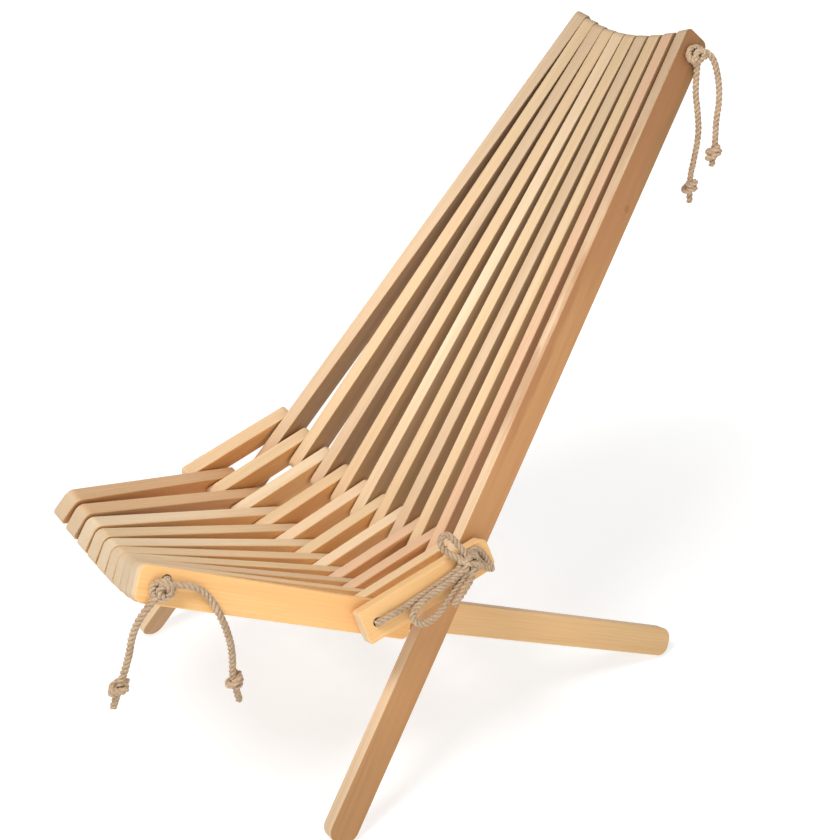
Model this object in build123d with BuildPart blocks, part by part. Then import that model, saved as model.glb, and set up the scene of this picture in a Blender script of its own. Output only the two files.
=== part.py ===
from build123d import *
import math
import os

os.makedirs("parts", exist_ok=True)

# ---------------------------------------------------------------- dimensions
# Slatted folding chair: thirty-one planed battens threaded on three ropes.
# Millimetres.  +X is the sitter's left, -Y is the front, +Z is up.

batten_t = 20.0          # batten thickness, across the chair
batten_h = 44.0          # batten width, seen from the side
edge_r = 1.8             # eased long edges
layers = 10              # seat battens, and back battens
spreaders = 11           # short battens between the layers

# the four rope lines: pitch of one layer, middle of the line, and how far the
# two ends of the line stand from its middle (five layers out)
top_pitch, top_y, top_z, top_dy, top_dz = 22.73, 424.7, 845.5, 14.85, 27.2
front_pitch, front_y, front_z, front_dy, front_dz = 23.97, -424.9, 353.2, -11.0, 40.9
seat_pitch, seat_y, seat_z, seat_dy, seat_dz = 44.02, -171.5, 226.4, -46.2, 62.8
back_pitch, back_y, back_z, back_dy, back_dz = 46.17, -39.6, 251.4, -27.5, 62.3

# how far each batten runs past its rope holes
back_top_end = 28.5
back_top_full = 5.5      # the middle battens stand a little further past the rope
back_low_end = 26.0
back_leg_end = 394.6     # outermost back battens are the front legs
seat_front_end = 32.0
seat_rear_end = 56.0
seat_leg_end = 567.0     # second seat batten from each side is a rear leg
spreader_front_end = 19.0
spreader_rear_end = 28.0

tip_r = 10.0             # rounded corners at the ends of the long battens
foot_r = 18.0            # rounded feet
square_r = 4.0           # corners of the spreaders' front ends
front_hole_lift = 9.0    # the front holes sit above the batten's middle

hole_r = 5.5             # front holes
top_hole_r = 7.0         # top holes, where the rope runs at a slant
joint_hole_r = 6.5       # holes at the two rope hinges
outer_hole_r = 5.9       # front hole of the near spreader, the only one in plain sight

rope_d = 9.0             # three-strand rope where it is free
rope_in_d = 6.0          # the same rope drawn tight inside the holes
rope_gap = 0.4           # between a knot and the wood beside it

# ---------------------------------------------------------------- layout


def on_line(pitch, y, z, dy, dz, u):
    """A point of a rope line, u layers from the middle of the chair."""
    s = (u / 5.0) ** 2
    return Vector(pitch * u, y + dy * s, z + dz * s)


def top_at(u):
    return on_line(top_pitch, top_y, top_z, top_dy, top_dz, u)


def front_at(u):
    return on_line(front_pitch, front_y, front_z, front_dy, front_dz, u)


def seat_at(u):
    return on_line(seat_pitch, seat_y, seat_z, seat_dy, seat_dz, u)


def back_at(u):
    return on_line(back_pitch, back_y, back_z, back_dy, back_dz, u)


def outward(a, b, c):
    """Normal of the plane of three rope points, towards +X."""
    w = (b - a).cross(c - a).normalized()
    return w if w.X > 0 else w * -1


def lying(origin, along, side):
    """Plane of a batten: x along it, z across its thickness."""
    d = along.normalized()
    w = (side - d * side.dot(d)).normalized()
    return Plane(origin=origin, x_dir=d, z_dir=w)


def back_plane(k):
    u = k - 5.5
    return lying(top_at(u), back_at(u) - top_at(u), outward(top_at(u), back_at(u), seat_at(u)))


def seat_plane(k):
    u = k - 5.5
    return lying(front_at(u), seat_at(u) - front_at(u), outward(front_at(u), seat_at(u), back_at(u)))


def spreader_plane(j):
    u = j - 6.0
    side = Vector(0, 0, 0)
    for e in (u - 0.5, u + 0.5):
        side += outward(seat_at(e), back_at(e), front_at(e))
        side += outward(seat_at(e), back_at(e), top_at(e))
    return lying(seat_at(u), back_at(u) - seat_at(u), side)


def batten(plane, start, end, start_r, end_r, holes):
    """One batten: rounded outline, eased edges, drilled holes (x, y, r)."""
    with BuildPart() as stick:
        with BuildSketch(plane):
            with Locations(((start + end) / 2, 0)):
                Rectangle(end - start, batten_h)
            ordered = vertices().sort_by(Axis.X)
            first, last = ordered[:2], ordered[2:]
            fillet(first, start_r)
            fillet(vertices().sort_by(Axis.X)[-2:], end_r)
        extrude(amount=batten_t / 2, both=True)
        across = Axis(plane.origin, plane.z_dir)
        sides = stick.faces().sort_by(across)
        fillet(sides[0].edges() + sides[-1].edges(), edge_r)
        for x, y, r in holes:
            with BuildSketch(plane):
                with Locations((x, y)):
                    Circle(r)
            extrude(amount=batten_t, both=True, mode=Mode.SUBTRACT)
    return stick


def save(shape, name):
    shape.label = name
    export_step(shape, f"parts/{name}.step")
    pieces[name] = shape


pieces = {}

# ---------------------------------------------------------------- back battens
for k in range(1, layers + 1):
    plane = back_plane(k)
    run = (back_at(k - 5.5) - top_at(k - 5.5)).length
    leg = k in (1, layers)
    with BuildPart() as back_batten:
        add(
            batten(
                plane,
                -back_top_end - back_top_full * (1 - ((k - 5.5) / 4.5) ** 2),
                run + (back_leg_end if leg else back_low_end),
                tip_r,
                foot_r if leg else tip_r,
                [(0, 0, top_hole_r), (run, 0, joint_hole_r)],
            ).part
        )
    save(back_batten.part, f"back_leg_{k:02d}" if leg else f"back_stick_{k:02d}")

# ---------------------------------------------------------------- seat battens
for k in range(1, layers + 1):
    plane = seat_plane(k)
    run = (seat_at(k - 5.5) - front_at(k - 5.5)).length
    leg = k in (2, layers - 1)
    with BuildPart() as seat_batten:
        add(
            batten(
                plane,
                -seat_front_end,
                run + (seat_leg_end if leg else seat_rear_end),
                tip_r,
                foot_r if leg else tip_r,
                [(0, front_hole_lift, hole_r), (run, 0, joint_hole_r)],
            ).part
        )
    save(seat_batten.part, f"seat_leg_{k:02d}" if leg else f"seat_stick_{k:02d}")

# ---------------------------------------------------------------- spreaders
for j in range(1, spreaders + 1):
    plane = spreader_plane(j)
    run = (back_at(j - 6.0) - seat_at(j - 6.0)).length
    with BuildPart() as spreader:
        add(
            batten(
                plane,
                -spreader_front_end,
                run + spreader_rear_end,
                square_r,
                tip_r,
                [(0, 0, outer_hole_r if j == spreaders else joint_hole_r), (run, 0, joint_hole_r)],
            ).part
        )
    save(spreader.part, f"spreader_{j:02d}")

# ---------------------------------------------------------------- ropes


def at(plane, a, w, n):
    """A point a along a batten, w out from its middle and n above its line."""
    return plane.origin + plane.x_dir * a + plane.z_dir * w + plane.y_dir * n


def rope(name, points, diameter):
    """A tube along straight runs joined by tangent arcs."""
    runs = [(b - a).length for a, b in zip(points, points[1:])]
    radii = []
    for i in range(1, len(points) - 1):
        turn = (points[i] - points[i - 1]).get_angle(points[i + 1] - points[i])
        radii.append(0.45 * min(runs[i - 1], runs[i]) / math.tan(math.radians(turn) / 2))
    with BuildPart() as tube:
        with BuildLine() as path:
            FilletPolyline(*points, radius=radii)
        length = sum(e.length for e in path.edges())
        with BuildSketch(Plane(origin=points[0], z_dir=points[1] - points[0])):
            Circle(diameter / 2)
        sweep(path=path.wires()[0])
    section = math.pi * diameter**2 / 4
    print(
        name,
        "length", round(length, 1),
        "volume ratio", round(tube.part.volume / (section * length), 4),
        "radii", [round(r) for r in radii],
    )
    save(tube.part, name)


def knot(name, middle, axis, across_r, half_length):
    """The outer shape of a knot: a rounded bead about the given axis."""
    with BuildPart() as body:
        with BuildSketch(Plane(origin=middle, z_dir=axis)):
            Circle(across_r)
        extrude(amount=half_length, both=True)
        fillet(body.edges().filter_by(GeomType.CIRCLE), 0.86 * half_length)
    save(body.part, name)


face = batten_t / 2 + 0.3
near_back, far_back = back_plane(layers), back_plane(1)
near_seat, far_seat = seat_plane(layers), seat_plane(1)
near_spreader, far_spreader = spreader_plane(spreaders), spreader_plane(1)
near_run = (back_at(5) - seat_at(5)).length

# the rope through the front ends, its knots and its two hanging tails
front_line = [at(far_seat, 0, -face, front_hole_lift)]
front_line += [at(seat_plane(k), 0, 0, front_hole_lift) for k in range(1, layers + 1)]
front_line += [at(near_seat, 0, face, front_hole_lift)]
rope("front_rope", front_line, rope_in_d)
across_front = near_seat.z_dir
knot("front_knot", at(near_seat, -4, face + 10.9, -3), across_front, 15.5, 10.5)
knot("front_far_knot", at(far_seat, 0, -face - 4.8, 4), far_seat.z_dir, 8.4, 4.4)
front_tail_right = [
    at(near_seat, 2, 21, 3),
    at(near_seat, 24, 20, 8),
    Vector(139.9, -395.2, 372.8),
    Vector(153.0, -389.6, 349.0),
    Vector(156.9, -383.4, 314.5),
    Vector(157.0, -382.0, 281.5),
    Vector(155.6, -385.4, 250.5),
    Vector(158.0, -380.4, 212.5),
]
rope("front_tail_right", front_tail_right, rope_d)
front_tail_left = [
    at(near_seat, -10, 21, -10),
    Vector(122.6, -470.2, 373.1),
    Vector(117.0, -482.6, 348.2),
    Vector(114.2, -489.6, 317.5),
    Vector(109.6, -501.6, 284.0),
    Vector(103.6, -515.4, 245.5),
]
rope("front_tail_left", front_tail_left, rope_d)
knot("front_end_knot_right", Vector(155.7, -385.6, 244.2), Vector(0.02, -0.06, -1), 9.8, 9.0)
knot("front_end_knot_left", Vector(107.7, -505.9, 272.1), Vector(-0.15, -0.35, -0.93), 11.2, 10.5)

# the rope through the top ends, its knots and its two hanging tails
top_line = [at(far_back, 0, -face, 0)]
top_line += [top_at(k - 5.5) for k in range(1, layers + 1)]
top_line += [at(near_back, 0, face, 0)]
rope("top_rope", top_line, rope_in_d)
knot("top_knot", at(near_back, 2, face + 10.0, 3), near_back.z_dir, 15.5, 9.6)
knot("top_far_knot", at(far_back, 0, -face - 4.8, 0), far_back.z_dir, 8.4, 4.4)
top_tail_right = [
    at(near_back, -4, 24, 4),
    Vector(135.8, 450.7, 872.1),
    Vector(144.2, 460.7, 841.5),
    Vector(148.6, 465.3, 808.9),
    Vector(147.7, 464.6, 778.3),
    Vector(150.2, 467.4, 747.2),
    Vector(149.2, 467.0, 715.5),
]
rope("top_tail_right", top_tail_right, rope_d)
top_tail_left = [
    at(near_back, 8, 21, 8),
    Vector(124.3, 437.5, 825.2),
    Vector(130.0, 444.0, 792.3),
    Vector(133.6, 448.1, 761.4),
    Vector(132.3, 446.7, 727.0),
    Vector(130.1, 444.3, 694.7),
    Vector(133.2, 447.8, 661.5),
]
rope("top_tail_left", top_tail_left, rope_d)
knot("top_end_knot_right", Vector(150.4, 468.2, 735.7), Vector(-0.03, -0.02, -1), 11.0, 9.5)
knot("top_end_knot_left", Vector(131.0, 445.2, 684.3), Vector(0.1, 0.12, -1), 12.0, 10.0)

# the rope that makes both hinges: in through the seat line, across outside the
# far spreader, back through the back line, and tied over the near spreader
seat_line = [at(far_spreader, 0, -batten_t / 4, 0)]
seat_line += [seat_at(i / 2) for i in range(-9, 10)]
seat_line += [at(near_spreader, 0, batten_t / 4, 0)]
rope("seat_hinge_rope", seat_line, rope_in_d)
back_line = [at(far_spreader, near_run, -batten_t / 4, 0)]
back_line += [back_at(i / 2) for i in range(-9, 10)]
back_line += [at(near_spreader, near_run, batten_t / 4, 0)]
rope("back_hinge_rope", back_line, rope_in_d)
far_link = [
    (-2, -face, 0), (4, -face - 3.9, 0.3), (13, -face - 5.6, 0.8), (30, -face - 4.8, 1.2),
    (60, -face - 4.6, 0.4), (93, -face - 4.6, -0.8), (123, -face - 4.8, -1.0),
    (near_run - 13, -face - 5.6, -0.6), (near_run - 4, -face - 3.9, 0), (near_run + 2, -face, 0),
]
rope("far_link_rope", [at(far_spreader, *p) for p in far_link], rope_d)
lash_run = [
    (-3, face, 0), (4, face + 4.3, 0.4), (13, face + 6.0, 1.2), (30, face + 5.2, -0.2),
    (56, face + 4.6, 0.6), (86, face + 4.8, 1.6), (112, face + 6.6, 3.6), (132, face + 9.0, 8.0),
]
rope("lash_run", [at(near_spreader, *p) for p in lash_run], rope_d)
knot("lash_knot", at(near_spreader, 141, face + 11.2, 8), near_spreader.z_dir, 16.5, 11.0)
lash_low_loop = [
    (130, 24, 4), (112, 24, 1), (88, 24, 0), (62, 23, -2), (42, 22, -8),
    (39, 22, -22), (54, 22, -32), (75, 22, -29), (97, 22, -18), (117, 23, -8), (136, 25, 0),
]
rope("lash_low_loop", [at(near_spreader, *p) for p in lash_low_loop], rope_d)
lash_tail = [(140, 30, 2), (132, 32, -6), (120, 31, -14), (108, 30, -21), (95, 28, -27)]
rope("lash_tail", [at(near_spreader, *p) for p in lash_tail], rope_d)
lash_high_loop = [
    (133, 24, 15), (123, 22, 27), (114, 20, 40), (114, 19, 54), (126, 20, 58), (132, 22, 46), (136, 24, 31),
    (139, 26, 18),
]
rope("lash_high_loop", [at(near_spreader, *p) for p in lash_high_loop], rope_d)
lash_wrap = [
    (144, 23, 15), (152, 20, 21), (160, 17.5, 16), (166, 16, 7), (169, 15.6, -5), (170, 15.6, -21),
]
rope("lash_wrap", [at(near_spreader, *p) for p in lash_wrap], rope_d)

feet = {n: round(p.bounding_box().min.Z, 3) for n, p in pieces.items() if "leg" in n}
print("feet", feet)
cords = ("tail", "end_knot", "front_knot", "front_far_knot", "top_knot", "top_far_knot", "lash", "far_link")
boxes = [p.bounding_box() for n, p in pieces.items() if not any(c in n for c in cords)]
print("x", min(b.min.X for b in boxes), max(b.max.X for b in boxes))
print("y", min(b.min.Y for b in boxes), max(b.max.Y for b in boxes))
print("z", min(b.min.Z for b in boxes), max(b.max.Z for b in boxes))
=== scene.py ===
"""Slatted folding beach chair: thirty-one battens on three ropes."""

import math
import random

import bpy
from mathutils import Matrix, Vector, noise


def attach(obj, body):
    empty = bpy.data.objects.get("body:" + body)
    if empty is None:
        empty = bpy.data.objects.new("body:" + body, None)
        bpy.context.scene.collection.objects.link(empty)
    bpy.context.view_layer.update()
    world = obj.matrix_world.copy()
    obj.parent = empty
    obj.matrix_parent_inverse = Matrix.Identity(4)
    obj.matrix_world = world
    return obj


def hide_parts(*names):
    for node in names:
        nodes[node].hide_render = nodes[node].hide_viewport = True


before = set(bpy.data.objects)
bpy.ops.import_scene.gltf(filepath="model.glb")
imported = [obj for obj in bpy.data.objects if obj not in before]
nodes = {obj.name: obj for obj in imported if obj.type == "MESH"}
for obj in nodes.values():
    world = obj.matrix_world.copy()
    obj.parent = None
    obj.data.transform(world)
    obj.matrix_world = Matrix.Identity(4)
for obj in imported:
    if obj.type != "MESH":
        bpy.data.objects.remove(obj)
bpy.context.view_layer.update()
scene = bpy.context.scene

# ------------------------------------------------------------------ camera
cam = bpy.data.objects.new("camera", bpy.data.cameras.new("camera"))
scene.collection.objects.link(cam)
cam.location = (1.02043, -0.81674, 1.14360)
cam.rotation_euler = (math.pi / 2 - 0.51803, 0.0, 0.871365)
cam.data.sensor_width = 36.0
cam.data.lens = 1043.684 / 840.0 * 36.0
cam.data.clip_start = 0.02
scene.camera = cam

# ------------------------------------------------------------------ layout, millimetres
T_, F_, A_, B_ = (
    (22.73, 424.7, 845.5, 14.85, 27.2),
    (23.97, -424.9, 353.2, -11.0, 40.9),
    (44.02, -171.5, 226.4, -46.2, 62.8),
    (46.17, -39.6, 251.4, -27.5, 62.3),
)


def on(line, u):
    p, y, z, dy, dz = line
    s = (u / 5.0) ** 2
    return Vector((p * u, y + dy * s, z + dz * s))


def outward(a, b, c):
    w = (b - a).cross(c - a).normalized()
    return w if w.x > 0 else -w


class Stick:
    """A batten's own axes: x along it, w across its thickness, n up its width."""

    def __init__(self, o, along, side, start, end):
        self.o, self.d = o, along.normalized()
        self.w = (side - self.d * side.dot(self.d)).normalized()
        self.n = self.w.cross(self.d)
        self.run = along.length
        self.start, self.end = start, end

    def at(self, a, w, n):
        return (self.o + self.d * a + self.w * w + self.n * n) * 0.001


def back(k):
    u = k - 5.5
    t, b, a = on(T_, u), on(B_, u), on(A_, u)
    s = Stick(t, b - t, outward(t, b, a), -30, 0)
    s.end = s.run + (394.6 if k in (1, 10) else 26)
    return s


def seat(k):
    u = k - 5.5
    f, a, b = on(F_, u), on(A_, u), on(B_, u)
    s = Stick(f, a - f, outward(f, a, b), -32, 0)
    s.end = s.run + (567.0 if k in (2, 9) else 56)
    return s


def spreader(j):
    u = j - 6.0
    side = Vector((0, 0, 0))
    for e in (u - 0.5, u + 0.5):
        side += outward(on(A_, e), on(B_, e), on(F_, e)) + outward(on(A_, e), on(B_, e), on(T_, e))
    s = Stick(on(A_, u), on(B_, u) - on(A_, u), side, -19, 0)
    s.end = s.run + 28
    return s


sticks = {}
for k in range(1, 11):
    sticks["back_leg_%02d" % k if k in (1, 10) else "back_stick_%02d" % k] = back(k)
    sticks["seat_leg_%02d" % k if k in (2, 9) else "seat_stick_%02d" % k] = seat(k)
for j in range(1, 12):
    sticks["spreader_%02d" % j] = spreader(j)

K10, S10, M11 = back(10), seat(10), spreader(11)
K1, S1, M1 = back(1), seat(1), spreader(1)
face = 10.3


# ------------------------------------------------------------------ materials
def srgb(r, g, b):
    def f(c):
        c = c / 255.0
        return c / 12.92 if c <= 0.04045 else ((c + 0.055) / 1.055) ** 2.4

    return (f(r), f(g), f(b), 1.0)


class Nodes:
    def __init__(self, name):
        self.mat = bpy.data.materials.new(name)
        self.mat.use_nodes = True
        self.t = self.mat.node_tree
        self.bsdf = self.t.nodes["Principled BSDF"]

    def new(self, kind, **values):
        node = self.t.nodes.new(kind)
        for k, v in values.items():
            setattr(node, k, v)
        return node

    def put(self, socket, value):
        if isinstance(value, bpy.types.NodeSocket):
            self.t.links.new(value, socket)
        elif value is not None:
            socket.default_value = value

    def math(self, op, a, b=None, c=None, clamp=False):
        m = self.new("ShaderNodeMath", operation=op, use_clamp=clamp)
        for i, v in enumerate((a, b, c)):
            self.put(m.inputs[i], v)
        return m.outputs[0]

    def vec(self, op, a, b=None, scale=None):
        m = self.new("ShaderNodeVectorMath", operation=op)
        self.put(m.inputs[0], a)
        self.put(m.inputs[1], b)
        if scale is not None:
            self.put(m.inputs["Scale"], scale)
        return m.outputs["Value"] if op in ("DOT_PRODUCT", "LENGTH", "DISTANCE") else m.outputs[0]

    def mix(self, fac, a, b, blend="MIX"):
        m = self.new("ShaderNodeMix", data_type="RGBA", blend_type=blend)
        m.clamp_factor = True
        self.put(m.inputs[0], fac)
        self.put(m.inputs[6], a)
        self.put(m.inputs[7], b)
        return m.outputs[2]

    def range(self, v, a, b, c=0.0, d=1.0, smooth=False):
        m = self.new("ShaderNodeMapRange", interpolation_type="SMOOTHSTEP" if smooth else "LINEAR")
        for i, x in enumerate((v, a, b, c, d)):
            self.put(m.inputs[i], x)
        return m.outputs[0]

    def noise(self, vector, scale, detail=2.0, rough=0.5):
        m = self.new("ShaderNodeTexNoise")
        self.put(m.inputs["Vector"], vector)
        self.put(m.inputs["Scale"], scale)
        self.put(m.inputs["Detail"], detail)
        self.put(m.inputs["Roughness"], rough)
        return m.outputs["Fac"]


def wood(name, stick, seed, light, dark, knots=(), grade=None, side=(0.9, 0.8, 0.7), shade_and_tone_patches=(), rings=0.0040):
    """Planed softwood: growth rings about a pith outside the batten, fine fibre, eased edges painted paler as wear
    and as a highlight, with painted shade on the broad sides and along some battens.
    """
    rnd = random.Random(seed * 77 + 5)
    N = Nodes("wood_" + name)
    tex = N.new("ShaderNodeTexCoord")
    o = stick.o * 0.001
    rel = N.vec("SUBTRACT", tex.outputs["Object"], tuple(o))
    a = N.vec("DOT_PRODUCT", rel, tuple(stick.d))
    w = N.vec("DOT_PRODUCT", rel, tuple(stick.w))
    n = N.vec("DOT_PRODUCT", rel, tuple(stick.n))
    loc = N.new("ShaderNodeCombineXYZ")
    for i, v in enumerate((a, w, n)):
        N.put(loc.inputs[i], v)
    loc = loc.outputs[0]
    shift = (rnd.uniform(-9, 9), rnd.uniform(-9, 9), rnd.uniform(-9, 9))

    def stretched(sa, sw, sn, off=0.0):
        v = N.vec("MULTIPLY", loc, (sa, sw, sn))
        return N.vec("ADD", v, tuple(x + off for x in shift))

    # the pith runs beside the batten at a slight slope, which gives long arches on the faces
    w0 = rnd.choice((-1, 1)) * rnd.uniform(0.012, 0.060)
    n0 = rnd.choice((-1, 1)) * rnd.uniform(0.018, 0.075)
    sw, sn = rnd.uniform(-0.018, 0.018), rnd.uniform(-0.022, 0.022)
    wob = N.math("SUBTRACT", N.noise(stretched(3.2, 14, 14), 1.0, 3.0, 0.55), 0.5)
    dw = N.math("SUBTRACT", N.math("MULTIPLY_ADD", a, sw, w), w0)
    dn = N.math("SUBTRACT", N.math("MULTIPLY_ADD", a, sn, n), n0)
    r = N.math("SQRT", N.math("ADD", N.math("MULTIPLY", dw, dw), N.math("MULTIPLY", dn, dn)))
    r = N.math("MULTIPLY_ADD", wob, 0.016, r)
    knot_dark, knot_ring = None, None
    for ka, kw, kn, kr in knots:
        c = (ka * 0.001, kw * 0.001, kn * 0.001)
        dist = N.vec("LENGTH", N.vec("MULTIPLY", N.vec("SUBTRACT", loc, c), (0.72, 0.35, 1.0)))
        g = N.math("POWER", 2.718, N.math("MULTIPLY", N.math("MULTIPLY", dist, dist), -1.0 / (2.2 * kr * 0.001) ** 2))
        r = N.math("MULTIPLY_ADD", g, 0.009, r)
        wobd = N.math("MULTIPLY_ADD", N.math("SUBTRACT", N.noise(stretched(160, 160, 160), 1.0, 2.0), 0.5), 0.0016, dist)
        core = N.range(wobd, kr * 0.00055, kr * 0.00105, 1.0, 0.0, smooth=True)
        knot_dark = core if knot_dark is None else N.math("MAXIMUM", knot_dark, core)
    ph = N.math("FRACT", N.math("DIVIDE", r, rings))
    late = N.math("MULTIPLY", N.range(ph, 0.25, 0.86, 0.0, 1.0, smooth=True), N.range(ph, 0.90, 1.0, 1.0, 0.0))
    uneven = N.noise(stretched(1.6, 30, 30, 4.0), 1.0, 2.0)
    late = N.math("MULTIPLY", late, N.range(uneven, 0.3, 0.7, 0.25, 1.0))
    fibre = N.noise(stretched(14, 620, 620, 2.0), 1.0, 3.0, 0.65)
    streak = N.noise(stretched(2.4, 75, 75, 7.0), 1.0, 3.0, 0.6)
    blotch = N.noise(stretched(1.3, 16, 16, 12.0), 1.0, 2.0, 0.5)
    col = N.mix(N.math("MULTIPLY", late, 0.24), light, dark)
    col = N.mix(N.range(streak, 0.42, 0.72, 0.0, 0.40), col, dark)
    pink = tuple(light[i] * (1.0, 0.90, 0.86)[i] for i in range(3)) + (1.0,)
    col = N.mix(N.range(blotch, 0.45, 0.75, 0.0, 0.6), col, pink)
    val = N.range(fibre, 0.3, 0.7, 0.955, 1.04)
    # stretches of the batten are darkened along its length; at the top of the back this is painted shade
    if grade:
        for a0, a1, v0, v1 in grade:
            val = N.math("MULTIPLY", val, N.range(a, a0 * 0.001, a1 * 0.001, v0, v1, smooth=True))
    # painted shade: the broad sides are darkened and warmed by each batten's factor, standing in for the shade and
    # warm bounce light in the gaps between the battens
    shaded_broad_side = N.math("ABSOLUTE", N.vec("DOT_PRODUCT", tex.outputs["Normal"], tuple(stick.w)))
    col = N.mix(N.range(shaded_broad_side, 0.45, 0.85, 0.0, 1.0, smooth=True), col, tuple(side) + (1.0,), blend="MULTIPLY")
    # the end grain is greyer, and the arrises are paler, partly as wear and partly as a painted highlight
    end = N.math("ABSOLUTE", N.vec("DOT_PRODUCT", tex.outputs["Normal"], tuple(stick.d)))
    col = N.mix(N.range(end, 0.45, 0.9, 0.0, 0.6, smooth=True), col, srgb(208, 188, 160))
    ew = N.range(N.math("ABSOLUTE", w), 0.0088, 0.0100, 0.0, 1.0)
    en = N.range(N.math("ABSOLUTE", n), 0.0208, 0.0220, 0.0, 1.0)
    arris_wear_and_highlight = N.math("MULTIPLY", ew, en)
    val = N.math("MULTIPLY_ADD", N.math("MULTIPLY", arris_wear_and_highlight, N.range(streak, 0.35, 0.6, 0.3, 1.0)), 0.10, val)
    hsv = N.new("ShaderNodeHueSaturation")
    N.put(hsv.inputs["Color"], col)
    N.put(hsv.inputs["Value"], val)
    out = hsv.outputs[0]
    # patches laid over a stretch of a batten: mostly painted shade, one a darker streak
    for a0, a1, n0, n1, much, tone in shade_and_tone_patches:
        wa = N.math("MULTIPLY_ADD", N.math("SUBTRACT", N.noise(stretched(9, 40, 40, 3.0), 1.0, 3.0, 0.6), 0.5), 0.030, n)
        along = N.math("MULTIPLY", N.range(a, (a0 - 30) * 0.001, (a0 + 30) * 0.001, 0.0, 1.0, smooth=True),
                       N.range(a, (a1 - 60) * 0.001, (a1 + 60) * 0.001, 1.0, 0.0, smooth=True))
        across = N.math("MULTIPLY", N.range(wa, (n0 - 4) * 0.001, (n0 + 4) * 0.001, 0.0, 1.0, smooth=True),
                        N.range(wa, (n1 - 4) * 0.001, (n1 + 4) * 0.001, 1.0, 0.0, smooth=True))
        out = N.mix(N.math("MULTIPLY", N.math("MULTIPLY", along, across), much), out, tone)
    if knot_dark is not None:
        out = N.mix(N.math("MULTIPLY", knot_dark, 0.55), out, srgb(150, 96, 58))
    N.put(N.bsdf.inputs["Base Color"], out)
    N.put(N.bsdf.inputs["Roughness"], N.range(N.math("ADD", fibre, N.math("MULTIPLY", late, 0.3)), 0.3, 1.0, 0.62, 0.46))
    N.bsdf.inputs["Specular IOR Level"].default_value = 0.22
    height = N.math("ADD", N.math("MULTIPLY", fibre, 0.6), N.math("MULTIPLY", late, 0.5))
    bump = N.new("ShaderNodeBump")
    N.put(bump.inputs["Height"], height)
    bump.inputs["Strength"].default_value = 0.35
    bump.inputs["Distance"].default_value = 0.00025
    N.put(N.bsdf.inputs["Normal"], bump.outputs[0])
    return N.mat


# pale and dark tone of each batten: most are cream, some browner or pinker
TONES = {
    "cream": (srgb(231, 202, 163), srgb(210, 170, 122)),
    "pale": (srgb(238, 214, 180), srgb(220, 186, 142)),
    "grey": (srgb(222, 194, 160), srgb(198, 162, 124)),
    "honey": (srgb(234, 194, 140), srgb(212, 158, 98)),
    "tan": (srgb(222, 184, 142), srgb(196, 148, 102)),
    "pink": (srgb(228, 192, 158), srgb(204, 154, 116)),
}
PICK = {
    "back_leg_01": "grey", "back_stick_02": "cream", "back_stick_03": "grey", "back_stick_04": "cream",
    "back_stick_05": "pale", "back_stick_06": "cream", "back_stick_07": "grey", "back_stick_08": "cream",
    "back_stick_09": "pink", "back_leg_10": "grey",
    "seat_stick_01": "tan", "seat_leg_02": "tan", "seat_stick_03": "pale", "seat_stick_04": "cream",
    "seat_stick_05": "pale", "seat_stick_06": "cream", "seat_stick_07": "cream", "seat_stick_08": "grey",
    "seat_leg_09": "cream", "seat_stick_10": "honey",
    "spreader_01": "cream", "spreader_02": "cream", "spreader_03": "pale", "spreader_04": "cream",
    "spreader_05": "pale", "spreader_06": "cream", "spreader_07": "pale", "spreader_08": "pink",
    "spreader_09": "pink", "spreader_10": "cream", "spreader_11": "honey",
}
KNOTS = {"back_leg_10": [(237, 10, 8.8, 5.0)], "back_stick_05": [(330, 4, 22, 4.0)]}
# value grades along a batten (from, to, start value, end value): the tops of the back battens and of back_leg_10 are
# painted darker as shade where the light falls off up the back, with back_leg_10's middle a little brighter; the seat
# fronts and the feet of back_leg_10 and seat_leg_09 are just darker towards that end
GRADE = {"back_leg_10": [(-60, 520, 0.58, 1.06), (820, 1150, 1.0, 0.82)], "seat_leg_09": [(420, 840, 1.0, 0.84)]}
for k in range(1, 10):
    GRADE["back_leg_01" if k == 1 else "back_stick_%02d" % k] = [(-120, 560, 0.60, 0.98)]
for k in range(1, 10):
    GRADE.setdefault("seat_leg_%02d" % k if k in (2, 9) else "seat_stick_%02d" % k, []).append((-60, 200, 0.80, 1.0))
# painted shade on the broad sides, by batten kind and for single battens: the inner sides, in the gaps, are darkened
# and warmed; back_leg_10's outer side is darkened heavily; seat_stick_10 and spreader_11, whose sides face the open,
# are barely touched
BROAD_SIDE_SHADE = {
    "back": (0.64, 0.55, 0.45), "seat": (1.0, 0.82, 0.57), "spreader": (1.0, 0.82, 0.55),
    "back_leg_10": (0.68, 0.49, 0.32), "seat_stick_10": (1.02, 0.94, 0.80), "spreader_11": (1.0, 0.95, 0.86),
    "seat_leg_09": (0.98, 0.87, 0.69), "seat_leg_02": (0.9, 0.84, 0.78),
}
# darker patches (from, to, across from, across to, strength, colour): painted shade on the upper side of back_leg_10
# and on the shaded sides of spreaders 8 and 9; the lower patch on back_leg_10 is a darker streak
SHADE_AND_TONE_PATCHES = {
    "back_leg_10": [(-60, 360, -19, 10, 0.45, srgb(172, 116, 78)), (320, 600, -24, -12, 0.5, srgb(160, 106, 68))],
    "spreader_08": [(70, 150, -30, 14, 0.6, srgb(132, 84, 50))],
    "spreader_09": [(80, 140, -10, 16, 0.6, srgb(158, 92, 48))],
}
for i, (name, s) in enumerate(sorted(sticks.items())):
    light, dark = TONES[PICK[name]]
    m = wood(name, s, i, light, dark, KNOTS.get(name, ()), GRADE.get(name), BROAD_SIDE_SHADE.get(name, BROAD_SIDE_SHADE[name.split("_")[0]]), SHADE_AND_TONE_PATCHES.get(name, ()))
    o = nodes[name]
    o.data.materials.clear()
    o.data.materials.append(m)


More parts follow.
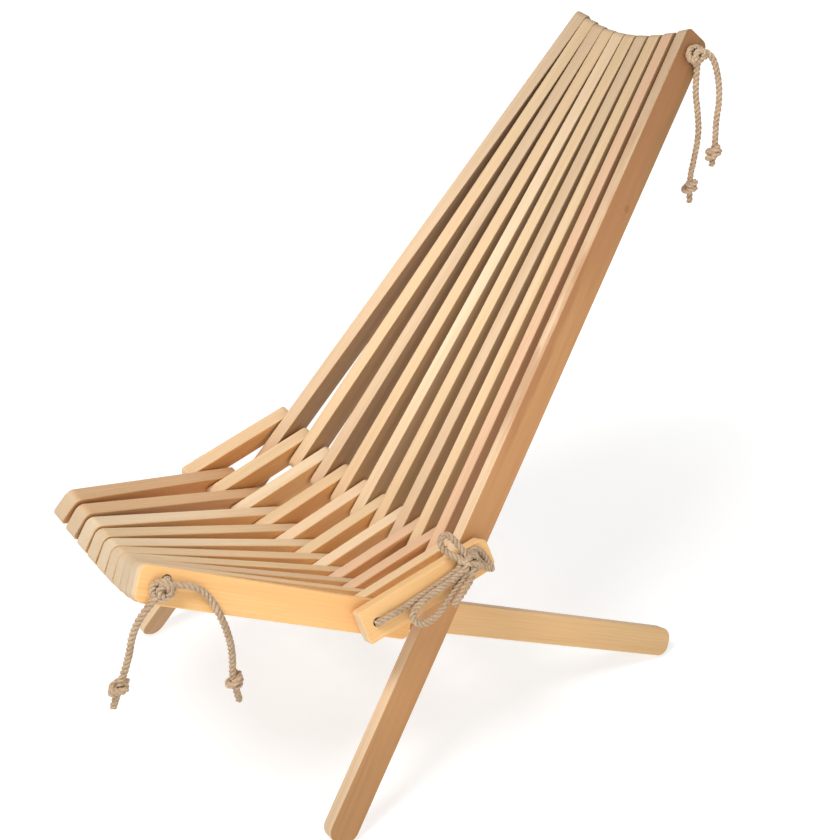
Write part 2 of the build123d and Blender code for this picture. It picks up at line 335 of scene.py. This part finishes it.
# ------------------------------------------------------------------ rope
def rope_material():
    N = Nodes("hemp_rope")
    tex = N.new("ShaderNodeTexCoord")
    att = N.new("ShaderNodeAttribute", attribute_name="shade")
    v = tex.outputs["Object"]
    big = N.noise(v, 55.0, 2.0)
    mid = N.noise(v, 420.0, 2.0)
    fine = N.noise(v, 2600.0, 2.0)
    col = N.mix(N.range(big, 0.35, 0.65), srgb(192, 166, 136), srgb(176, 146, 116))
    col = N.mix(N.range(mid, 0.45, 0.72, 0.0, 0.7), col, srgb(214, 192, 164))
    col = N.mix(N.range(fine, 0.55, 0.75, 0.0, 0.5), col, srgb(146, 116, 88))
    # painted shade in the rope's grooves, from the shade attribute
    groove_shade = N.range(att.outputs["Fac"], 0.0, 1.0, 0.62, 1.04)
    hsv = N.new("ShaderNodeHueSaturation")
    N.put(hsv.inputs["Color"], col)
    N.put(hsv.inputs["Value"], groove_shade)
    N.put(N.bsdf.inputs["Base Color"], hsv.outputs[0])
    N.bsdf.inputs["Roughness"].default_value = 0.86
    N.bsdf.inputs["Specular IOR Level"].default_value = 0.18
    N.bsdf.inputs["Sheen Weight"].default_value = 0.25
    N.bsdf.inputs["Sheen Roughness"].default_value = 0.5
    bump = N.new("ShaderNodeBump")
    N.put(bump.inputs["Height"], N.math("ADD", fine, mid))
    bump.inputs["Strength"].default_value = 0.5
    bump.inputs["Distance"].default_value = 0.0003
    N.put(N.bsdf.inputs["Normal"], bump.outputs[0])
    return N.mat


ROPE = rope_material()
D = 0.009


def spline(points, name="route"):
    """A smooth open spline with these control points."""
    cu = bpy.data.curves.new(name, "CURVE")
    cu.dimensions = "3D"
    cu.resolution_u = 24
    sp = cu.splines.new("NURBS")
    sp.points.add(len(points) - 1)
    for q, p in zip(sp.points, points):
        q.co = (p[0], p[1], p[2], 1.0)
    sp.order_u = 3
    sp.use_endpoint_u = True
    ob = bpy.data.objects.new(name, cu)
    scene.collection.objects.link(ob)
    bpy.context.view_layer.update()
    me = bpy.data.meshes.new_from_object(ob)
    line = [v.co.copy() for v in me.vertices]
    bpy.data.meshes.remove(me)
    bpy.data.objects.remove(ob)
    bpy.data.curves.remove(cu)
    return line


def even(line, step):
    """Points evenly spaced along a line."""
    cum = [0.0]
    for p, q in zip(line, line[1:]):
        cum.append(cum[-1] + (q - p).length)
    count = max(2, int(round(cum[-1] / step)) + 1)
    out, i = [], 0
    for j in range(count):
        s = cum[-1] * j / (count - 1)
        while i < len(cum) - 2 and cum[i + 1] < s:
            i += 1
        span = cum[i + 1] - cum[i]
        out.append(line[i].lerp(line[i + 1], (s - cum[i]) / span if span > 1e-12 else 0.0))
    return out, cum[-1]


def strands(lines, name, diameter=D, lay=2.3, seed=0, fray=(False, False), step=0.0011, side=14):
    """Three-strand rope along one or more lines, as one mesh with a shade attribute."""
    verts, faces, shade = [], [], []
    rnd = random.Random(seed + 11)
    for line in lines:
        pts, total = even(line, step)
        m = len(pts)
        tangents = [(pts[min(i + 1, m - 1)] - pts[max(i - 1, 0)]).normalized() for i in range(m)]
        up = tangents[0].orthogonal().normalized()
        frames = []
        for t in tangents:
            up = (up - t * up.dot(t)).normalized()
            frames.append((up, t.cross(up)))
        phase0 = rnd.uniform(0, 6.28)
        r0 = 0.585 * diameter / 2
        R0 = 0.43 * diameter / 2
        for i in range(3):
            base = len(verts)
            jit = rnd.uniform(0, 100)
            for k, p in enumerate(pts):
                s = total * k / (m - 1)
                e = 0.0
                if fray[0]:
                    e = max(e, 1.0 - s / (0.9 * diameter))
                if fray[1]:
                    e = max(e, 1.0 - (total - s) / (0.9 * diameter))
                e = max(0.0, e)
                swell = noise.noise(Vector((s * 90, jit, 0.0)))
                phi = phase0 + 2 * math.pi * (s / (lay * diameter) + i / 3.0) + 0.16 * noise.noise(Vector((s * 60, 7.7, jit)))
                u, v = frames[k]
                R = R0 * (1 + 0.06 * e)
                c = p + (u * math.cos(phi) + v * math.sin(phi)) * R
                r = r0 * (1 + 0.07 * swell) * (1 - 0.10 * e * e)
                for q in range(side):
                    th = phi + 2 * math.pi * q / side
                    lobe = math.cos(5 * (th - phi) + 2 * math.pi * s / (0.8 * lay * diameter) + jit)
                    rr = r * (1 + 0.075 * lobe)
                    verts.append(c + (u * math.cos(th) + v * math.sin(th)) * rr)
                    rel = 0.5 + 0.5 * math.cos(th - phi)
                    # painted shade: each strand is darker where it turns into the grooves between strands, with the
                    # yarn lobes and a little random swell
                    shade.append(min(1.0, 0.15 + 0.85 * rel ** 0.7) * (0.86 + 0.14 * lobe) * (1 + 0.10 * swell))
            for k in range(m - 1):
                for q in range(side):
                    a = base + k * side + q
                    b = base + k * side + (q + 1) % side
                    faces.append((a, b, b + side, a + side))
            for k, flip in ((0, True), (m - 1, False)):
                c = len(verts)
                ring = [base + k * side + q for q in range(side)]
                mid = sum((verts[x] for x in ring), Vector()) / side
                out = tangents[k] * (-1 if flip else 1) * r0 * 0.35
                verts.append(mid + out)
                shade.append(0.5)
                for q in range(side):
                    a, b = ring[q], ring[(q + 1) % side]
                    faces.append((b, a, c) if flip else (a, b, c))
    me = bpy.data.meshes.new(name)
    me.from_pydata([tuple(v) for v in verts], [], faces)
    at = me.attributes.new("shade", "FLOAT", "POINT")
    at.data.foreach_set("value", shade)
    me.polygons.foreach_set("use_smooth", [True] * len(me.polygons))
    me.update()
    me.materials.append(ROPE)
    ob = bpy.data.objects.new(name, me)
    scene.collection.objects.link(ob)
    return ob


def helix(middle, axis, radius, turns, pitch, start=0.0, squash=1.0, lead=0.0, hand=1):
    """A few turns about an axis, as tied round a standing part."""
    axis = axis.normalized()
    u = axis.orthogonal().normalized()
    v = axis.cross(u)
    n = int(40 * abs(turns))
    out = []
    for i in range(n + 1):
        f = i / n
        t = start + hand * 2 * math.pi * turns * f
        out.append(middle + (u * math.cos(t) + v * math.sin(t) * squash) * radius + axis * (f - 0.5) * turns * pitch)
    return out


def arc(*pts):
    return spline([tuple(p) for p in pts])


def mm(x, y, z):
    return Vector((x, y, z)) * 0.001


def add_cord(name, route, body, node, fray=(False, False), seed=0):
    line = spline([tuple(p) for p in route], name + "_route")
    piece = strands([line], name, seed=seed, fray=fray)
    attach(piece, body)
    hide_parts(node)
    return piece, line


def near(line, point):
    """Nearest point of a line and its direction there."""
    i = min(range(len(line)), key=lambda j: (line[j] - point).length)
    i = max(1, min(len(line) - 2, i))
    return line[i], (line[i + 1] - line[i - 1]).normalized()


def end_knot(name, route, point, body, node, turns=1.6, seed=0, hand=1):
    """Stopper knot: the end is wound round the standing part and pulled tight."""
    line = spline([tuple(p) for p in route])
    c, t = near(line, point)
    wraps = helix(c, t, D * 0.86, turns, D * 0.92, start=seed * 1.3, hand=hand)
    # tilt the turns a little so that they cross the rope like a thumb knot
    u = t.orthogonal().normalized()
    wraps = [p + t * ((p - c).dot(u) * 0.40) for p in wraps]
    first = wraps[0].lerp(c, 0.8) - t * D * 0.75
    last = wraps[-1].lerp(c, 0.8) + t * D * 0.75
    path = spline([tuple(first)] + [tuple(p) for p in wraps[::4]] + [tuple(last)])
    piece = strands([path], name, diameter=D * 1.02, seed=seed + 3)
    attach(piece, body)
    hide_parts(node)
    return piece


S10B, K10B, M11B = "seat_stick_10_body", "back_leg_10_body", "spreader_11_body"

# front rope: near knot, its two hanging ends
front_right = [S10.at(2, 21, 3), S10.at(24, 20, 8), mm(139.9, -395.2, 372.8), mm(153.0, -389.6, 349.0),
               mm(156.9, -383.4, 314.5), mm(157.0, -382.0, 281.5), mm(155.6, -385.4, 250.5), mm(158.0, -380.4, 212.5)]
front_left = [S10.at(-10, 21, -10), mm(122.6, -470.2, 373.1), mm(117.0, -482.6, 348.2), mm(114.2, -489.6, 317.5),
              mm(109.6, -501.6, 284.0), mm(103.6, -515.4, 245.5)]
k1 = end_knot("front_stopper_right", front_right, mm(155.7, -385.6, 244.2), S10B, "front_end_knot_right", seed=1, turns=1.45)
k2 = end_knot("front_stopper_left", front_left, mm(107.7, -505.9, 272.1), S10B, "front_end_knot_left", seed=2, turns=1.5, hand=-1)
add_cord("front_end_right", front_right, S10B, "front_tail_right", fray=(False, True), seed=1)
add_cord("front_end_left", front_left, S10B, "front_tail_left", fray=(False, True), seed=2)

# top rope
top_right = [K10.at(-4, 24, 4), mm(135.8, 450.7, 872.1), mm(144.2, 460.7, 841.5), mm(148.6, 465.3, 808.9),
             mm(147.7, 464.6, 778.3), mm(150.2, 467.4, 747.2), mm(149.2, 467.0, 715.5)]
top_left = [K10.at(8, 21, 8), mm(124.3, 437.5, 825.2), mm(130.0, 444.0, 792.3), mm(133.6, 448.1, 761.4),
            mm(132.3, 446.7, 727.0), mm(130.1, 444.3, 694.7), mm(133.2, 447.8, 661.5)]
k3 = end_knot("top_stopper_right", top_right, mm(150.4, 468.2, 735.7), K10B, "top_end_knot_right", seed=3, turns=1.45)
k4 = end_knot("top_stopper_left", top_left, mm(131.0, 445.2, 684.3), K10B, "top_end_knot_left", seed=4, turns=1.5, hand=-1)
add_cord("top_end_right", top_right, K10B, "top_tail_right", fray=(False, True), seed=3)
add_cord("top_end_left", top_left, K10B, "top_tail_left", fray=(False, True), seed=4)


def tied_knot(name, s, a, n, body, node, hole, seed, side=1, size=1.0, turn=0.0):
    """Overhand knot of both ends, flat against a batten's side: hole is where the rope comes out."""
    q = D * 1000 * size

    def P(x, w, y):
        cx, cy = x * math.cos(turn) - y * math.sin(turn), x * math.sin(turn) + y * math.cos(turn)
        return s.at(a + cx, side * (face + w), n + cy)

    h = s.at(hole[0], side * (face - 4), hole[1])
    h2 = s.at(hole[0], side * (face + 4), hole[1])
    one = [h, h2, P(0.2 * q, 1.15 * q, 1.1 * q), P(0.9 * q, 1.35 * q, 0.1 * q), P(0.5 * q, 1.1 * q, -1.1 * q), P(-0.7 * q, 0.7 * q, -1.25 * q),
           P(-1.35 * q, 0.62 * q, -0.2 * q), P(-0.9 * q, 0.9 * q, 0.9 * q), P(0.1 * q, 1.75 * q, 1.0 * q), P(1.1 * q, 1.6 * q, 0.5 * q)]
    two = [P(0.9 * q, 0.6 * q, 1.1 * q), P(1.35 * q, 0.7 * q, 0.1 * q), P(0.9 * q, 0.8 * q, -0.9 * q), P(0.0, 1.55 * q, -0.9 * q),
           P(-0.75 * q, 1.7 * q, -0.1 * q), P(-0.2 * q, 1.95 * q, 0.7 * q), P(0.6 * q, 2.0 * q, 0.35 * q), P(0.75 * q, 1.7 * q, -0.5 * q),
           P(0.0, 1.0 * q, -1.3 * q), P(-0.9 * q, 0.9 * q, -1.2 * q)]
    piece = strands([arc(*one), arc(*two)], name, seed=seed)
    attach(piece, body)
    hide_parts(node)
    return piece


def flat_knot(name, s, a, n, body, node, seed):
    """Small knot on the far side, pulled flat against the batten round the mouth of its hole."""
    r = D * 430
    pts = []
    for i in range(34):
        t = 2 * math.pi * i / 15
        pts.append(s.at(a + r * math.cos(t), -face - 4.6 + 0.5 * math.sin(1.5 * t), n + r * math.sin(t)))
    piece = strands([spline([tuple(p) for p in pts])], name, diameter=D * 0.86, seed=seed)
    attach(piece, body)
    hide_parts(node)
    return piece


tied_knot("front_tie", S10, -4, -3, S10B, "front_knot", (0, 9), 5)
flat_knot("front_far_tie", S1, 0, 4, "seat_stick_01_body", "front_far_knot", 6)
tied_knot("top_tie", K10, 3, 3, K10B, "top_knot", (0, 0), 7, turn=1.2)
flat_knot("top_far_tie", K1, 0, 0, "back_leg_01_body", "top_far_knot", 8)

# the ropes inside the holes are made in short lengths, one in each batten, so that each
# stays in its own hole when the chair folds


def threaded(name, points_of, count, body_of, node, seed):
    made = []
    for k in range(1, count + 1):
        p, q, r = points_of(k)
        line, _ = even([p, q, r], 0.002)
        piece = strands([line], "%s_%02d" % (name, k), diameter=0.0066, seed=seed + k, step=0.0018, side=10)
        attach(piece, body_of(k))
        made.append(piece)
    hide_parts(node)
    return made


def body_name(kind, k):
    if kind == "seat":
        return ("seat_leg_%02d_body" if k in (2, 9) else "seat_stick_%02d_body") % k
    return ("back_leg_%02d_body" if k in (1, 10) else "back_stick_%02d_body") % k


def hole_points(make, lift):
    def f(k):
        me_ = make(k)
        mid = me_.at(0, 0, lift)
        lo = mid.lerp(make(k - 1).at(0, 0, lift), 0.5) if k > 1 else me_.at(0, -face, lift)
        hi = mid.lerp(make(k + 1).at(0, 0, lift), 0.5) if k < 10 else me_.at(0, face, lift)
        return lo, mid, hi
    return f


threaded("front_rope_in", hole_points(seat, 9), 10, lambda k: body_name("seat", k), "front_rope", 20)
threaded("top_rope_in", hole_points(back, 0), 10, lambda k: body_name("back", k), "top_rope", 40)

# hinge ropes ride with the middle spreader
for name, line_, dy, node in (("seat_hinge_rope_in", A_, 0, "seat_hinge_rope"), ("back_hinge_rope_in", B_, 1, "back_hinge_rope")):
    pts = [on(line_, i / 4) * 0.001 for i in range(-20, 21)]
    piece = strands([pts], name, diameter=0.0066, seed=60 + dy, step=0.0018, side=10)
    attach(piece, "centre_spreader")
    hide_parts(node)

# far side: one length of the hinge rope from hole to hole
L = M11.run
far_link = [(-2, -face, 0), (4, -face - 3.9, 0.3), (13, -face - 5.6, 0.8), (30, -face - 4.8, 1.2),
            (60, -face - 4.6, 0.4), (93, -face - 4.6, -0.8), (123, -face - 4.8, -1.0),
            (L - 13, -face - 5.6, -0.6), (L - 4, -face - 3.9, 0), (L + 2, -face, 0)]
add_cord("far_link", [M1.at(*p) for p in far_link], "spreader_01_body", "far_link_rope", seed=9)

# near side: the bow over the near spreader
lash_run = [(-3, face, 0), (4, face + 4.3, 0.4), (13, face + 6.0, 1.2), (30, face + 5.2, -0.2),
            (56, face + 4.6, 0.6), (86, face + 4.8, 1.6), (112, face + 6.6, 3.6), (132, face + 9.0, 8.0)]
low_loop = [(130, 24, 4), (112, 24, 1), (88, 24, 0), (62, 23, -2), (42, 22, -8),
            (39, 22, -22), (54, 22, -32), (75, 22, -29), (97, 22, -18), (117, 23, -8), (136, 25, 0)]
tail = [(140, 30, 2), (132, 32, -6), (120, 31, -14), (108, 30, -21), (95, 28, -27)]
high_loop = [(133, 24, 15), (123, 22, 27), (114, 20, 40), (114, 19, 54), (126, 20, 58), (132, 22, 46), (136, 24, 31),
             (139, 26, 18)]
wrap = [(144, 23, 15), (152, 20, 21), (160, 17.5, 16), (166, 16, 7), (169, 15.6, -5), (170, 15.6, -21)]
add_cord("lash_along", [M11.at(*p) for p in lash_run], M11B, "lash_run", seed=10)
add_cord("bow_low", [M11.at(*p) for p in low_loop], M11B, "lash_low_loop", seed=11)
add_cord("bow_end", [M11.at(*p) for p in tail], M11B, "lash_tail", fray=(False, True), seed=12)
add_cord("bow_high", [M11.at(*p) for p in high_loop], M11B, "lash_high_loop", seed=13)
add_cord("lash_over", [M11.at(*p) for p in wrap], M11B, "lash_wrap", fray=(False, True), seed=14)


def bow_knot():
    q = 8.0

    def P(x, w, y):
        return M11.at(141 + x, face + w, 8 + y)

    one = [P(-14, 6, -2), P(-9, 9, 9), P(2, 12, 13), P(12, 11, 7), P(13, 7, -5), P(4, 5, -12), P(-8, 6, -10)]
    two = [P(-10, 14, -12), P(-11, 17, 0), P(-4, 20, 10), P(7, 19, 9), P(10, 16, -2), P(3, 15, -12), P(-8, 14, -14)]
    three = [P(-14, 12, 10), P(-6, 20, 4), P(3, 21, -3), P(11, 16, -10)]
    four = [P(4, 12, 6), P(10, 10, 2), P(15, 8, -7), P(20, 6.5, -16), P(25, 6, -25)]
    return [arc(*one), arc(*two), arc(*three), arc(*four)]


knot = strands(bow_knot(), "bow_tie", seed=15)
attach(knot, M11B)
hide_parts("lash_knot")

# ------------------------------------------------------------------ stage
floor_me = bpy.data.meshes.new("floor")
floor_me.from_pydata([(-15, -15, 0), (15, -15, 0), (15, 15, 0), (-15, 15, 0)], [], [(0, 1, 2, 3)])
floor = bpy.data.objects.new("floor", floor_me)
scene.collection.objects.link(floor)
fm = Nodes("floor_white")
fm.bsdf.inputs["Base Color"].default_value = (0.50, 0.50, 0.50, 1)
fm.bsdf.inputs["Emission Color"].default_value = (1.0, 1.0, 1.0, 1)
ftex = fm.new("ShaderNodeTexCoord")
far_off = fm.vec("LENGTH", ftex.outputs["Object"])
fm.put(fm.bsdf.inputs["Emission Strength"], fm.range(far_off, 0.35, 1.7, 0.64, 0.93, smooth=True))
fm.bsdf.inputs["Roughness"].default_value = 0.95
fm.bsdf.inputs["Specular IOR Level"].default_value = 0.0
floor_me.materials.append(fm.mat)

world = bpy.data.worlds.new("world")
scene.world = world
world.use_nodes = True
world.node_tree.nodes["Background"].inputs[0].default_value = (1, 1, 1, 1)
wt = world.node_tree
wtex, wsep, wmap = (wt.nodes.new(k) for k in ("ShaderNodeTexCoord", "ShaderNodeSeparateXYZ", "ShaderNodeMapRange"))
wt.links.new(wtex.outputs["Generated"], wsep.inputs[0])
wt.links.new(wsep.outputs["Z"], wmap.inputs[0])
for i, x in enumerate((0.10, 0.60, 0.95, 0.30)):
    wmap.inputs[i + 1].default_value = x
wt.links.new(wmap.outputs[0], wt.nodes["Background"].inputs[1])


def area(name, where, look, size, power, color=(1, 1, 1)):
    li = bpy.data.lights.new(name, "AREA")
    li.shape = "DISK"
    li.size = size
    li.energy = power
    li.color = color
    ob = bpy.data.objects.new(name, li)
    scene.collection.objects.link(ob)
    ob.location = where
    ob.rotation_euler = (Vector(look) - Vector(where)).to_track_quat("-Z", "Y").to_euler()
    return ob


area("key", (0.15, -1.0, 2.15), (0, 0.0, 0.4), 0.8, 32, (1.0, 0.985, 0.96))
area("fill", (2.2, -1.1, 0.9), (0, -0.1, 0.25), 1.2, 11, (1.0, 0.97, 0.92))

scene.view_settings.view_transform = "Standard"
scene.view_settings.look = "None"
scene.view_settings.exposure = 0.0
scene.view_settings.gamma = 1.0
